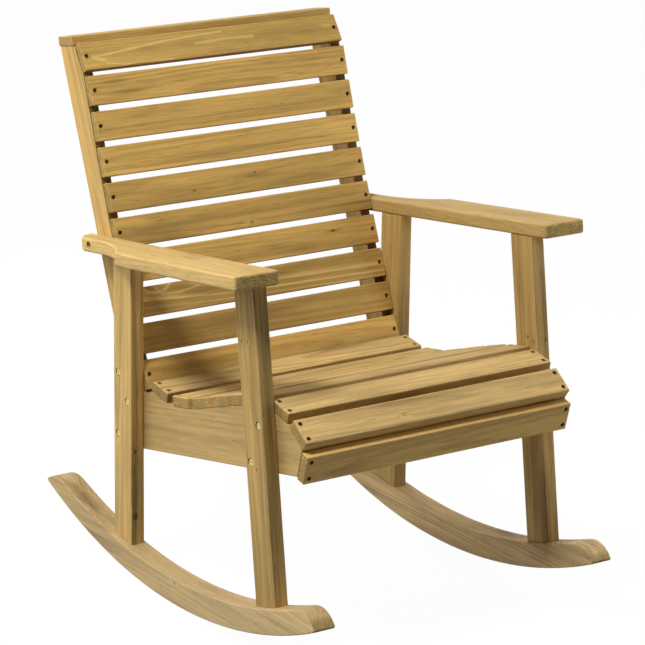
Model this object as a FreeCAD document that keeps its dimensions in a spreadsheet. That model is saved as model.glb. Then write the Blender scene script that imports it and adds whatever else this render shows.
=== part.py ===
import FreeCAD, Part
import math
import os
import Sketcher
from FreeCAD import Placement, Rotation, Vector

# A slatted wooden rocking chair, in millimetres and degrees: X to the right, Y to the back, Z up.
# It is drawn with the lowest point of the rockers at Y 0, then tipped on them to where it balances.

SIZES = [
    # Overall
    ("seat_width", 532.5, "between the inner faces of the left and right legs"),
    ("slat_end_gap", 0.5, "from a slat's end to the legs' inner face"),
    # Rockers
    ("rocker_radius", 1011, "underside arc"),
    ("rocker_height", 45.5, "at the lowest point, along the arc's radius"),
    ("rocker_front_height", 39.5, "at the front end, before its upper corner is rounded"),
    ("rocker_rear_height", 32.5, "at the rear end, before its upper corner is rounded"),
    ("rocker_width", 42, "left to right"),
    ("rocker_inset", 5.5, "rocker's inner face inboard of the legs' inner face"),
    ("rocker_front_angle", 23.3, "arc ahead of the lowest point"),
    ("rocker_rear_angle", 26.6, "arc behind the lowest point"),
    ("rocker_front_nose", 41, "length of the rounded front end"),
    ("rocker_rear_nose", 54, "length of the rounded rear end"),
    ("rocker_tip", 3, "rounding of the lower corner of each end"),
    ("rocker_edge", 2.5, "rounding of the long edges"),
    # Legs
    ("leg_thickness", 26, "left to right"),
    ("leg_depth", 58, "front to back"),
    ("leg_edge", 2.5, "rounding of the long edges"),
    ("foot_gap", 0.2, "between a foot's edges and the rocker"),
    ("front_foot_y", -253.5, "middle of the front foot"),
    ("front_leg_lean", 6.5, "top further back than the foot"),
    ("rear_foot_y", 205.4, "middle of the rear foot"),
    ("rear_leg_lean", -1.43, "top further forward than the foot"),
    # Armrests
    ("arm_front_y", -250.5, "front end of the top face"),
    ("arm_front_height", 635.9, "top face at the front end"),
    ("arm_slope", 5.57, "falling to the back"),
    ("arm_length", 584.5, "along the slope"),
    ("arm_width", 83, "at the front"),
    ("arm_thickness", 24, "through the board"),
    ("arm_shoulder", 373, "front end to where the sweep starts"),
    ("arm_sweep_radius", 200, "hollow sweep to the tail"),
    ("arm_tail_width", 37, "at the back"),
    ("arm_tail_share", 0.9, "rounding of the tail's outer corner as a share of its width"),
    ("arm_corner", 6, "rounding of the other corners in plan"),
    ("arm_edge", 4, "rounding of the top and bottom edges"),
    # Seat side rails
    ("rail_thickness", 19, "left to right"),
    ("rail_bottom_height", 257.9, "bottom edge at Y 0"),
    ("rail_slope", 9.2, "bottom edge rising to the front"),
    ("rail_rear_y", 226, "rear end"),
    ("rail_edge", 2, "rounding of the bottom edges"),
    ("shelf_gap", 1.5, "from the rail's rear shelf up to the lowest back slat"),
    # Seat slats, rearmost first; a positive tilt lifts the front edge
    ("seat_slat_width", 49, "front to back"),
    ("seat_slat_thickness", 18.5, "through the slat"),
    ("seat_slat_gap", 13.6, "between the top faces of neighbours"),
    ("seat_start_y", 117, "middle of the rearmost slat's top face"),
    ("seat_start_height", 353.1, "middle of the rearmost slat's top face"),
    ("seat_tilt_1", -11, "rearmost seat slat"),
    ("seat_tilt_2", 8, "seat slat"),
    ("seat_tilt_3", 17, "seat slat"),
    ("seat_tilt_4", 17, "seat slat"),
    ("seat_tilt_5", 15.5, "seat slat"),
    ("seat_tilt_6", 9, "seat slat"),
    ("seat_tilt_7", -15, "seat slat on the front roll"),
    ("seat_tilt_8", -38, "foremost seat slat"),
    ("apron_tilt", -106, "apron under the foremost slat"),
    ("apron_width", 50.7, "top to bottom edge"),
    ("apron_drop", 3, "apron's top edge below the foremost slat's lower front edge"),
    ("apron_tuck", 2, "apron's back behind the foremost slat's lower front edge"),
    ("slat_edge", 2, "rounding of the edges of seat and back slats"),
    # Cross rail between the seat rails, parallel to the apron
    ("cross_rail_width", 40, "bottom to top edge"),
    ("cross_rail_thickness", 18.5, "front to back"),
    ("cross_rail_rise", 3, "its top edge above the apron's top edge"),
    ("cross_rail_setback", 15, "its front face behind the apron's back"),
    ("cross_rail_dowel_spread", 10, "from its middle line to each dowel"),
    # Back slats, lowest first; tilt is measured from upright, leaning back
    ("back_slat_width", 51.5, "bottom to top edge"),
    ("back_slat_thickness", 13.5, "through the slat"),
    ("back_slat_gap", 10.2, "between the front faces of neighbours"),
    ("back_start_y", 155, "lowest slat's bottom front edge"),
    ("back_start_height", 340, "lowest slat's bottom front edge"),
    ("back_lowest_tilt", 23, "lowest back slat"),
    ("back_upper_tilt", 16.4, "last slat under the head slat"),
    ("head_tilt", 32.8, "top back slat"),
    # Back uprights and the cap across them
    ("upright_thickness", 19, "left to right"),
    ("upright_recline", 20.2, "rear edge, from vertical"),
    ("upright_depth", 59, "behind the slat under the head slat"),
    ("upright_edge", 2, "rounding of the rear edges"),
    ("cap_depth", 48, "front to back"),
    ("cap_thickness", 16, "through the board"),
    ("cap_tilt", 8.3, "front edge higher"),
    ("cap_rise", 0.8, "cap's underside above the head slat's top back edge"),
    ("cap_overhang", 2.5, "past the uprights' outer faces at each end"),
    # Slat screws
    ("screw_diameter", 4, "shank"),
    ("screw_length", 25, "under the head"),
    ("screw_head_diameter", 7.2, "head"),
    ("screw_head_height", 2.5, "head"),
    ("screw_slot_width", 1.2, "cross recess"),
    ("screw_slot_length", 4.4, "cross recess"),
    ("screw_slot_depth", 1.2, "cross recess"),
    ("screw_spread", 15, "from a seat slat's middle line to its screws"),
    ("screw_sink_diameter", 8, "recess in the slat"),
    ("screw_sink_depth", 5, "recess in the slat"),
    ("screw_fit", 0.15, "gap all round the shank"),
    ("screw_tip_gap", 0.5, "room under the tip"),
    # Frame bolts with their washers and nuts
    ("bolt_diameter", 6, "shank"),
    ("bolt_length", 49, "under the head"),
    ("bolt_head_diameter", 12.5, "head"),
    ("bolt_head_height", 3, "head"),
    ("bolt_socket", 4, "across the flats of the hex socket"),
    ("bolt_socket_depth", 2, "hex socket"),
    ("bolt_rim", 0.8, "rounding of the head"),
    ("bolt_fit", 0.3, "gap all round the shank"),
    ("bolt_sink_diameter", 14, "recess in the leg or armrest"),
    ("bolt_grip", 21.5, "wood left between the head and the legs' inner face"),
    ("bolt_offset", 15, "from the leg's middle line, alternately to either side"),
    ("rear_bolt_edge", 29, "top bolt above the shelf and bottom bolt above the rail's lower edge"),
    ("rear_bolt_drop", 17.5, "middle bolt below the shelf"),
    ("front_bolt_edge", 20, "bolts from the rail's upper and lower edges"),
    ("washer_diameter", 15, "outside"),
    ("washer_thickness", 1.5, "through the washer"),
    ("nut_flats", 10, "across the flats"),
    ("nut_height", 5, "along the bolt"),
    # Dowels between legs and armrests, and between the cross rail and the seat rails
    ("dowel_diameter", 8, "round dowel"),
    ("dowel_length", 32, "end to end"),
    ("dowel_short_end", 12, "part of the dowel inside the armrest or the seat rail"),
    ("dowel_spread", 15, "from the leg's middle to each dowel"),
    ("dowel_fit", 0.15, "gap all round and at both ends"),
    # Screws from the rockers into the legs
    ("foot_screw_diameter", 6, "shank"),
    ("foot_screw_length", 70, "under the head"),
    ("foot_screw_head_diameter", 11, "head"),
    ("foot_screw_head_height", 4, "head"),
    ("foot_screw_sink_diameter", 12, "recess in the rocker"),
    ("foot_screw_sink_depth", 12, "recess in the rocker"),
    ("foot_screw_spread", 15, "from the foot's middle to each screw"),
    # Weights per volume, used only to find where the chair balances
    ("wood_density", 480, "kilograms per cubic metre"),
    ("steel_density", 7850, "kilograms per cubic metre"),
]

SIDES = {"left": -1, "right": 1}
SEAT_SLATS = 8
BACK_SLATS = 10
# Cutters start this far outside the surface they cut.
CUTTER_LEAD = 1.0

doc = FreeCAD.newDocument("rocking_chair")
sheet = doc.addObject("Spreadsheet::Sheet", "Sizes")
for row, (alias, value, meaning) in enumerate(SIZES, start=1):
    sheet.set("A%d" % row, meaning)
    sheet.set("B%d" % row, str(value))
    sheet.setAlias("B%d" % row, alias)
doc.recompute()

wood_nodes = []
steel_nodes = []


def size(alias):
    return float(getattr(sheet, alias))


def turned(degrees):
    """Unit vector in the side view, turned from straight back (+Y) towards up (+Z)."""
    return Vector(0, math.cos(math.radians(degrees)), math.sin(math.radians(degrees)))


def meet(point, along, other_point, other_along):
    """Where two straight lines cross in the side view."""
    gap = other_point - point
    share = (gap.y * other_along.z - gap.z * other_along.y) / (along.y * other_along.z - along.z * other_along.y)
    return point + along * share


def tilt_frame(point, degrees):
    """Board frame: X to the right, Y along the turned direction, Z out of the board's front or top face."""
    return Placement(point, Rotation(Vector(1, 0, 0), degrees))


def axis_frame(point, direction):
    """Frame with its Z axis along the given direction."""
    return Placement(point, Rotation(Vector(0, 0, 1), direction))


def shifted(frame, x, y, z):
    return frame.multiply(Placement(Vector(x, y, z), Rotation()))


# Building blocks

def origin_plane(body, role):
    return next(feature for feature in body.Origin.OriginFeatures if feature.Role == role)


def add_sketch(body, name, role, curves, offset):
    sketch = body.newObject("Sketcher::SketchObject", name)
    sketch.AttachmentSupport = (origin_plane(body, role), [""])
    sketch.MapMode = "FlatFace"
    sketch.setExpression("AttachmentOffset.Base.z", offset)
    sketch.addGeometry(curves, False)
    for index in range(len(curves)):
        sketch.addConstraint(Sketcher.Constraint("Block", index))
    return sketch


def flat(point):
    """A side-view point in the coordinates of a sketch on the YZ plane."""
    return Vector(point.y, point.z, 0)


def polygon(points):
    corners = [flat(point) for point in points]
    return [Part.LineSegment(a, b) for a, b in zip(corners, corners[1:] + corners[:1])]


def add_pad(body, sketch, length, reverse=False):
    pad = body.newObject("PartDesign::Pad", body.Label + "_pad")
    pad.Profile = sketch
    pad.setExpression("Length", length)
    pad.Reversed = reverse
    doc.recompute()
    return pad


def add_fillet(body, feature, edges, radius):
    fillet = body.newObject("PartDesign::Fillet", body.Label + "_fillet")
    fillet.Base = (feature, edges)
    fillet.setExpression("Radius", radius)
    doc.recompute()
    return fillet


def chosen_edges(shape, test):
    return ["Edge%d" % number for number, edge in enumerate(shape.Edges, start=1) if test(edge)]


def ease_long_edges(body, radius):
    """Round the edges that run a board's whole length, not the short ones at its ends and facets."""
    board = body.Tip
    longest = max(edge.Length for edge in board.Shape.Edges)
    add_fillet(body, board, chosen_edges(board.Shape, lambda edge: edge.Length > longest / 2), radius)


def side_board(label, side, curves, start, thickness):
    """A board cut to a side-view outline, from X start outwards for its thickness."""
    body = doc.addObject("PartDesign::Body", label)
    mirrored = SIDES[side] < 0
    offset = "-(%s)" % start if mirrored else start
    sketch = add_sketch(body, label + "_outline", "YZ_Plane", curves, offset)
    add_pad(body, sketch, thickness, mirrored)
    return body


def drilled(label, blank, holes):
    """The blank with round holes: each hole is a frame on its mouth, a radius and a depth along minus Z."""
    cutters = []
    for number, (frame, radius, depth) in enumerate(holes, start=1):
        cutter = doc.addObject("Part::Cylinder", "%s_hole_%d" % (label, number))
        cutter.setExpression("Radius", radius)
        cutter.setExpression("Height", "%s + %s" % (depth, CUTTER_LEAD))
        turn_over = Rotation(Vector(1, 0, 0), 180)
        cutter.Placement = frame.multiply(Placement(Vector(0, 0, CUTTER_LEAD), turn_over))
        cutters.append(cutter)
    tool = doc.addObject("Part::Compound", label + "_holes")
    tool.Links = cutters
    cut = doc.addObject("Part::Cut", label)
    cut.Base = blank
    cut.Tool = tool
    doc.recompute()
    if cut.Shape.Volume >= blank.Shape.Volume:
        raise ValueError("the holes of %s cut nothing" % label)
    cut.Label = label
    wood_nodes.append(cut)
    return cut


SLAT_LENGTH = "Sizes.seat_width - 2 * Sizes.slat_end_gap"
CAP_LENGTH = "Sizes.seat_width + 2 * Sizes.cap_overhang"
CROSS_RAIL_LENGTH = "Sizes.seat_width - 2 * Sizes.rail_thickness"


def add_board(body, length, width, thickness):
    """A square-edged board lying on its body's XY plane, its middle over the origin."""
    box = body.newObject("PartDesign::AdditiveBox", body.Label + "_board")
    box.setExpression("Length", length)
    box.setExpression("Width", width)
    box.setExpression("Height", thickness)
    box.AttachmentSupport = (origin_plane(body, "XY_Plane"), [""])
    box.MapMode = "FlatFace"
    box.setExpression("AttachmentOffset.Base.x", "-(%s) / 2" % length)
    box.setExpression("AttachmentOffset.Base.y", "-(%s) / 2" % width)
    doc.recompute()
    return box


def slat(label, frame, width, thickness, screw_spots, length=SLAT_LENGTH):
    """A straight slat with sunk screw holes, lying on its frame's XY plane."""
    body = doc.addObject("PartDesign::Body", label)
    box = add_board(body, length, width, thickness)
    fillet = add_fillet(body, box, chosen_edges(box.Shape, lambda edge: True), "Sizes.slat_edge")

    circles = []
    for x, y in screw_spots:
        circles.append(Part.Circle(Vector(x, y, 0), Vector(0, 0, 1), size("screw_diameter") / 2))
    sketch = add_sketch(body, label + "_screw_spots", "XY_Plane", circles, thickness)
    doc.recompute()
    hole = body.newObject("PartDesign::Hole", label + "_screw_holes")
    hole.Profile = sketch
    hole.ThreadType = "None"
    hole.DepthType = "ThroughAll"
    hole.HoleCutType = "Counterbore"
    hole.HoleCutCustomValues = True
    hole.setExpression("Diameter", "Sizes.screw_diameter + 2 * Sizes.screw_fit")
    hole.setExpression("HoleCutDiameter", "Sizes.screw_sink_diameter")
    hole.setExpression("HoleCutDepth", "Sizes.screw_sink_depth")
    doc.recompute()
    if hole.Shape.Volume >= fillet.Shape.Volume:
        raise ValueError("the screw holes of %s cut nothing" % label)
    body.Placement = frame
    wood_nodes.append(body)
    return body


def fastener_group(label, template, frames, nodes):
    """Copies of one fastener, kept as separate solids of one node."""
    group = doc.addObject("Part::Feature", label)
    solids = []
    for frame in frames:
        solid = template.Shape.copy()
        solid.Placement = frame
        solids.append(solid)
    group.Shape = Part.makeCompound(solids)
    nodes.append(group)
    return group


# Lines that several pieces share

half_seat = size("seat_width") / 2
arc_centre = Vector(0, 0, size("rocker_radius"))
leg_middle = half_seat + size("leg_thickness") / 2
screw_line = half_seat - size("rail_thickness") / 2
back_screw_line = half_seat - size("upright_thickness") / 2

arm_frame = tilt_frame(Vector(0, size("arm_front_y"), size("arm_front_height")), -size("arm_slope"))
arm_along = turned(-size("arm_slope"))
arm_up = turned(90 - size("arm_slope"))
arm_underside = arm_frame.Base - arm_up * size("arm_thickness")


def on_rocker(degrees, height):
    """Point this high above the rockers' underside, the angle counted backwards from the lowest point."""
    return arc_centre + turned(degrees - 90) * (size("rocker_radius") - height)


front_end, rear_end = -size("rocker_front_angle"), size("rocker_rear_angle")
rocker_front_top = on_rocker(front_end, size("rocker_front_height"))
rocker_rear_top = on_rocker(rear_end, size("rocker_rear_height"))
rocker_top = Part.Circle(rocker_front_top, on_rocker(0, size("rocker_height")), rocker_rear_top)


def rocker_top_crossing(point, along, gap):
    """Where a line going up through a point comes within a gap above the rockers' top arc."""
    reach = point - rocker_top.Center
    middle = reach.dot(along)
    radius = rocker_top.Radius - gap
    return point + along * (-middle - math.sqrt(middle ** 2 - reach.dot(reach) + radius ** 2))


# Seat slats: each is laid off from the one behind it along the mean of their tilts.

def seat_slat_frames():
    """Frames on the undersides of the seat slats, rearmost first."""
    pitch = size("seat_slat_width") + size("seat_slat_gap")
    tilts = [size("seat_tilt_%d" % number) for number in range(1, SEAT_SLATS + 1)]
    top = Vector(0, size("seat_start_y"), size("seat_start_height"))
    frames = []
    for number, tilt in enumerate(tilts):
        if number > 0:
            top = top - turned(-(tilts[number - 1] + tilt) / 2) * pitch
        frames.append(tilt_frame(top - turned(90 - tilt) * size("seat_slat_thickness"), -tilt))
    return frames


seat_frames = seat_slat_frames()
seat_half_width = size("seat_slat_width") / 2
overhang = shifted(seat_frames[-1], 0, -seat_half_width, 0).Base
apron_frame = tilt_frame(overhang, -size("apron_tilt"))
apron_half_width = size("apron_width") / 2
apron_frame = shifted(apron_frame, 0, -size("apron_drop") - apron_half_width, -size("apron_tuck"))
seat_frames_with_apron = seat_frames + [apron_frame]
cross_rail_middle = apron_half_width + size("cross_rail_rise") - size("cross_rail_width") / 2
cross_rail_rear = -size("cross_rail_setback") - size("cross_rail_thickness")
cross_rail_frame = shifted(apron_frame, 0, cross_rail_middle, cross_rail_rear)


# Back slats: the same way, upwards, along the front faces.

def back_slat_tilts():
    """Tilts from the lowest slat up; they fall evenly, and the head slat leans back on its own."""
    evenly = BACK_SLATS - 1
    step = (size("back_upper_tilt") - size("back_lowest_tilt")) / (evenly - 1)
    return [size("back_lowest_tilt") + step * number for number in range(evenly)] + [size("head_tilt")]


def back_slat_frames():
    """Frames on the rear faces of the back slats, lowest first."""
    width = size("back_slat_width")
    tilts = back_slat_tilts()
    edge = Vector(0, size("back_start_y"), size("back_start_height"))
    frames = []
    for number, tilt in enumerate(tilts):
        if number > 0:
            edge = edge + turned(90 - (tilts[number - 1] + tilt) / 2) * size("back_slat_gap")
        middle = edge + turned(90 - tilt) * (width / 2)
        frames.append(tilt_frame(middle + turned(-tilt) * size("back_slat_thickness"), 90 - tilt))
        edge = edge + turned(90 - tilt) * width
    return frames


back_frames = back_slat_frames()
back_half_width = size("back_slat_width") / 2
shelf_height = shifted(back_frames[0], 0, -back_half_width, 0).Base.z - size("shelf_gap")
shelf = Vector(0, 0, shelf_height)
backwards = Vector(0, 1, 0)

# Rear edge of the uprights and the underside of the cap, which closes their tops
recline_up = turned(90 - size("upright_recline"))
rear_edge = shifted(back_frames[-2], 0, 0, -size("upright_depth")).Base
cap_along = turned(-size("cap_tilt"))
cap_up = turned(90 - size("cap_tilt"))
cap_seat = shifted(back_frames[-1], 0, back_half_width, 0).Base + cap_up * size("cap_rise")
cap_rear = meet(cap_seat, cap_along, rear_edge, recline_up)
cap_frame = tilt_frame(cap_rear - cap_along * (size("cap_depth") / 2), -size("cap_tilt"))

rail_along = turned(-size("rail_slope"))
rail_bottom = Vector(0, 0, size("rail_bottom_height"))


def rail_bottom_at(y):
    return meet(rail_bottom, rail_along, Vector(0, y, 0), Vector(0, 0, 1))


def rail_top_points():
    """Top edge of the seat rails from the front: the apron's back, then under each slat, then the shelf."""
    points = []
    for frame in reversed(seat_frames):
        points.append(shifted(frame, 0, -seat_half_width, 0).Base)
        points.append(shifted(frame, 0, seat_half_width, 0).Base)
    apron_top = shifted(apron_frame, 0, apron_half_width, 0).Base
    points[0] = meet(apron_top, turned(-size("apron_tilt")), points[0], points[1] - points[0])
    shelf_front = Vector(0, size("back_start_y"), shelf_height)
    return [apron_top] + points + [shelf_front]


rail_top = rail_top_points()


def rail_top_at(y):
    """Point of the rail's top edge above this Y."""
    for front, rear in zip(rail_top, rail_top[1:]):
        if front.y <= y <= rear.y:
            return meet(front, rear - front, Vector(0, y, 0), Vector(0, 0, 1))
    raise ValueError("the rail does not reach Y %.1f" % y)


# Legs: middle line from the foot on the rocker up to the armrest

def leg_line(name):
    """Foot of a leg's middle line on the rocker's top, and its direction."""
    along = turned(90 - size(name + "_leg_lean"))
    start = Vector(0, size(name + "_foot_y"), 0)
    return rocker_top_crossing(start, along, size("foot_gap")), along


def beside_leg(name, height, offset):
    """Point at this height, offset backwards from a leg's middle line."""
    foot, along = leg_line(name)
    return meet(foot, along, Vector(0, 0, height), backwards) + backwards * offset


def leg_top_middle(name):
    foot, along = leg_line(name)
    return meet(foot, along, arm_underside, arm_along)


# Where the fasteners go, for one side

def bolt_spots(name):
    """Side-view points of a leg's bolts, each with the board it is bolted to."""
    offset = size("bolt_offset")
    if name == "rear":
        low = rail_bottom_at(beside_leg(name, shelf_height, offset).y).z + size("rear_bolt_edge")
        return [
            (beside_leg(name, shelf_height + size("rear_bolt_edge"), offset), "upright"),
            (beside_leg(name, shelf_height - size("rear_bolt_drop"), -offset), "rail"),
            (beside_leg(name, low, offset), "rail"),
        ]
    middle = beside_leg(name, shelf_height, 0).y
    high = rail_top_at(middle - offset).z - size("front_bolt_edge")
    low = rail_bottom_at(middle + offset).z + size("front_bolt_edge")
    return [(beside_leg(name, high, -offset), "rail"), (beside_leg(name, low, offset), "rail")]


def tail_bolt_spot():
    """Middle of the upright, at half the armrest's thickness."""
    arm_core = arm_underside + arm_up * (size("arm_thickness") / 2)
    back = meet(arm_core, arm_along, rear_edge, recline_up)
    return back - arm_along * (size("upright_depth") / 2)


def bolt_frame(side, spot):
    """Frame under a bolt's head, Z pointing out of the chair."""
    outwards = SIDES[side]
    point = Vector(outwards * (half_seat + size("bolt_grip")), spot.y, spot.z)
    return axis_frame(point, Vector(outwards, 0, 0))


def dowel_frames(side, name):
    """Frames where a leg's dowels cross the armrest's underside, Z up into the armrest."""
    middle = leg_top_middle(name) + Vector(SIDES[side] * leg_middle, 0, 0)
    spread = arm_along * size("dowel_spread")
    return [axis_frame(middle - spread, arm_up), axis_frame(middle + spread, arm_up)]


def cross_rail_dowel_frames(side):
    """Frames where the cross rail's dowels cross a seat rail's inner face, Z out into that rail."""
    outwards = SIDES[side]
    frames = []
    for offset in (-size("cross_rail_dowel_spread"), size("cross_rail_dowel_spread")):
        point = shifted(cross_rail_frame, 0, offset, size("cross_rail_thickness") / 2).Base
        point.x = outwards * (half_seat - size("rail_thickness"))
        frames.append(axis_frame(point, Vector(outwards, 0, 0)))
    return frames


def foot_screw_frames(side, name):
    """Frames under the heads of the screws that hold a foot, Z pointing down out of the rocker."""
    foot = leg_line(name)[0]
    down = (foot - arc_centre).normalize()
    head = arc_centre + down * (size("rocker_radius") - size("foot_screw_sink_depth"))
    head.x = SIDES[side] * leg_middle
    spread = Vector(0, -down.z, down.y) * size("foot_screw_spread")
    return [axis_frame(head - spread, down), axis_frame(head + spread, down)]


def seat_screw_spots():
    spread = size("screw_spread")
    return [(x, y) for x in (-screw_line, screw_line) for y in (-spread, spread)]


def back_screw_spots():
    return [(-back_screw_line, 0), (back_screw_line, 0)]


# Holes, each as a frame on its mouth, a radius and a depth

SCREW_BORE = "Sizes.screw_diameter / 2 + Sizes.screw_fit"
BOLT_BORE = "Sizes.bolt_diameter / 2 + Sizes.bolt_fit"
FOOT_BORE = "Sizes.foot_screw_diameter / 2 + Sizes.screw_fit"
DOWEL_BORE = "Sizes.dowel_diameter / 2 + Sizes.dowel_fit"


def pilot_holes(frames, spots, side, thickness):
    """Blind holes for the slat screws in the edge of a rail or upright."""
    depth = "Sizes.screw_length - (%s - Sizes.screw_sink_depth) + Sizes.screw_tip_gap" % thickness
    holes = []
    for frame in frames:
        for x, y in spots:
            if x * SIDES[side] > 0:
                holes.append((shifted(frame, x, y, 0), SCREW_BORE, depth))
    return holes


def bolt_bore(side, spot):
    """A clear hole along the whole bolt, starting under its head."""
    return (bolt_frame(side, spot), BOLT_BORE, "Sizes.bolt_length")


def bolt_sink(side, spot, board_size):
    """The round recess over a bolt's head, in the board whose size along the bolt is named."""
    mouth = shifted(bolt_frame(side, spot), 0, 0, size(board_size) - size("bolt_grip"))
    return (mouth, "Sizes.bolt_sink_diameter / 2", "Sizes.%s - Sizes.bolt_grip" % board_size)


def dowel_long_hole(frame):
    """The hole for a dowel's longer end, in the leg or the cross rail."""
    return (frame, DOWEL_BORE, "Sizes.dowel_length - Sizes.dowel_short_end + Sizes.dowel_fit")


def dowel_short_hole(frame):
    """The hole for a dowel's shorter end, in the armrest or the seat rail."""
    mouth = frame.multiply(Placement(Vector(), Rotation(Vector(1, 0, 0), 180)))
    return (mouth, DOWEL_BORE, "Sizes.dowel_short_end + Sizes.dowel_fit")


def leg_holes(side, name):
    holes = []
    for spot, _ in bolt_spots(name):
        holes.append(bolt_bore(side, spot))
        holes.append(bolt_sink(side, spot, "leg_thickness"))
    holes += [dowel_long_hole(frame) for frame in dowel_frames(side, name)]
    for frame in foot_screw_frames(side, name):
        holes.append((frame, FOOT_BORE, "Sizes.foot_screw_length + Sizes.screw_tip_gap"))
    return holes


def rail_holes(side):
    holes = pilot_holes(seat_frames_with_apron, seat_screw_spots(), side, "Sizes.seat_slat_thickness")
    for name in ("front", "rear"):
        for spot, board in bolt_spots(name):
            if board == "rail":
                holes.append(bolt_bore(side, spot))
    holes += [dowel_short_hole(frame) for frame in cross_rail_dowel_frames(side)]
    return holes


def cross_rail_holes():
    return [dowel_long_hole(frame) for side in SIDES for frame in cross_rail_dowel_frames(side)]


def upright_holes(side):
    holes = pilot_holes(back_frames, back_screw_spots(), side, "Sizes.back_slat_thickness")
    holes += pilot_holes([cap_frame], back_screw_spots(), side, "Sizes.cap_thickness")
    spots = [spot for spot, board in bolt_spots("rear") if board == "upright"]
    for spot in spots + [tail_bolt_spot()]:
        holes.append(bolt_bore(side, spot))
    return holes


def arm_holes(side):
    holes = []
    for name in ("front", "rear"):
        holes += [dowel_short_hole(frame) for frame in dowel_frames(side, name)]
    spot = tail_bolt_spot()
    holes.append(bolt_bore(side, spot))
    holes.append(bolt_sink(side, spot, "arm_tail_width"))
    return holes


def rocker_holes(side):
    holes = []
    for name in ("front", "rear"):
        for frame in foot_screw_frames(side, name):
            holes.append((frame, FOOT_BORE, "Sizes.rocker_height"))
            mouth = shifted(frame, 0, 0, size("foot_screw_sink_depth"))
            holes.append((mouth, "Sizes.foot_screw_sink_diameter / 2", "Sizes.foot_screw_sink_depth"))
    return holes


# Wooden pieces

def rocker(side):
    """A bent runner between two arcs; each end is one large round from its lower tip to the top arc."""

    def nose(end, top_corner, turn):
        """The tip, middle and upper end of a rounded end; turn is its share of the top arc in degrees."""
        tip = on_rocker(end, 0)
        upper = rocker_top.Center + Rotation(Vector(1, 0, 0), turn).multVec(top_corner - rocker_top.Center)
        into_wood = (upper - rocker_top.Center).normalize()
        reach = upper - tip
        radius = -reach.dot(reach) / (2 * into_wood.dot(reach))
        centre = upper + into_wood * radius
        middle = (tip + upper - centre * 2).normalize()
        return flat(tip), flat(centre + middle * radius), flat(upper)

    front_turn = math.degrees(size("rocker_front_nose") / rocker_top.Radius)
    rear_turn = math.degrees(size("rocker_rear_nose") / rocker_top.Radius)
    front_nose = nose(front_end, rocker_front_top, front_turn)
    rear_nose = nose(rear_end, rocker_rear_top, -rear_turn)
    curves = [
        Part.Arc(front_nose[0], flat(on_rocker(0, 0)), rear_nose[0]),
        Part.Arc(*rear_nose),
        Part.Arc(rear_nose[2], flat(on_rocker(0, size("rocker_height"))), front_nose[2]),
        Part.Arc(*front_nose),
    ]
    tips = [front_nose[0], rear_nose[0]]

    def runs_along_tip(edge):
        return any(all(math.hypot(end.Y - tip.x, end.Z - tip.y) < 0.01 for end in edge.Vertexes) for tip in tips)

    label = "rocker_" + side
    start = "Sizes.seat_width / 2 - Sizes.rocker_inset"
    blank = side_board(label + "_blank", side, curves, start, "Sizes.rocker_width")
    add_fillet(blank, blank.Tip, chosen_edges(blank.Tip.Shape, runs_along_tip), "Sizes.rocker_tip")
    ease_long_edges(blank, "Sizes.rocker_edge")
    return drilled(label, blank, rocker_holes(side))


def leg(side, name):
    """A leaning board, its foot cut to sit on the rocker and its top to the armrest's slope."""
    foot, along = leg_line(name)
    across = Vector(0, along.z, -along.y) * (size("leg_depth") / 2)
    corners = []
    for edge in (foot - across, foot + across):
        corners.append(rocker_top_crossing(edge, along, size("foot_gap")))
    for edge in (foot + across, foot - across):
        corners.append(meet(edge, along, arm_underside, arm_along))
    label = "%s_leg_%s" % (name, side)
    blank = side_board(label + "_blank", side, polygon(corners), "Sizes.seat_width / 2", "Sizes.leg_thickness")
    ease_long_edges(blank, "Sizes.leg_edge")
    return drilled(label, blank, leg_holes(side, name))


def armrest(side):
    """A flat board, wide in front, swept to a narrow tail with a round outer corner."""
    outwards = SIDES[side]
    inner = half_seat
    outer = half_seat + size("arm_width")
    tail = half_seat + size("arm_tail_width")
    length, shoulder, sweep = size("arm_length"), size("arm_shoulder"), size("arm_sweep_radius")
    tail_round = size("arm_tail_width") * size("arm_tail_share")
    sweep_end = shoulder + math.sqrt(sweep ** 2 - (sweep - (outer - tail)) ** 2)
    sweep_turn = math.asin((sweep_end - shoulder) / sweep) / 2
    sweep_middle = (tail + sweep - sweep * math.cos(sweep_turn), sweep_end - sweep * math.sin(sweep_turn))
    round_middle = (tail - tail_round + tail_round * math.sqrt(0.5), length - tail_round + tail_round * math.sqrt(0.5))

    def spot(x, y):
        return Vector(outwards * x, y, 0)

    curves = [
        Part.LineSegment(spot(inner, 0), spot(outer, 0)),
        Part.LineSegment(spot(outer, 0), spot(outer, shoulder)),
        Part.Arc(spot(outer, shoulder), spot(*sweep_middle), spot(tail, sweep_end)),
        Part.LineSegment(spot(tail, sweep_end), spot(tail, length - tail_round)),
        Part.Arc(spot(tail, length - tail_round), spot(*round_middle), spot(tail - tail_round, length)),
        Part.LineSegment(spot(tail - tail_round, length), spot(inner, length)),
        Part.LineSegment(spot(inner, length), spot(inner, 0)),
    ]
    label = "armrest_" + side
    body = doc.addObject("PartDesign::Body", label + "_blank")
    sketch = add_sketch(body, label + "_outline", "XY_Plane", curves, "-Sizes.arm_thickness")
    pad = add_pad(body, sketch, "Sizes.arm_thickness")
    corners = [spot(inner, 0), spot(outer, 0), spot(outer, shoulder), spot(inner, length)]

    def stands_on_corner(edge):
        return any(all(math.hypot(end.X - corner.x, end.Y - corner.y) < 0.01 for end in edge.Vertexes)
                   for corner in corners)

    def lies_flat(edge):
        return edge.BoundBox.ZLength < 0.01

    rounded = add_fillet(body, pad, chosen_edges(pad.Shape, stands_on_corner), "Sizes.arm_corner")
    add_fillet(body, rounded, chosen_edges(rounded.Shape, lies_flat), "Sizes.arm_edge")
    body.Placement = arm_frame
    return drilled(label, body, arm_holes(side))


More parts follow.
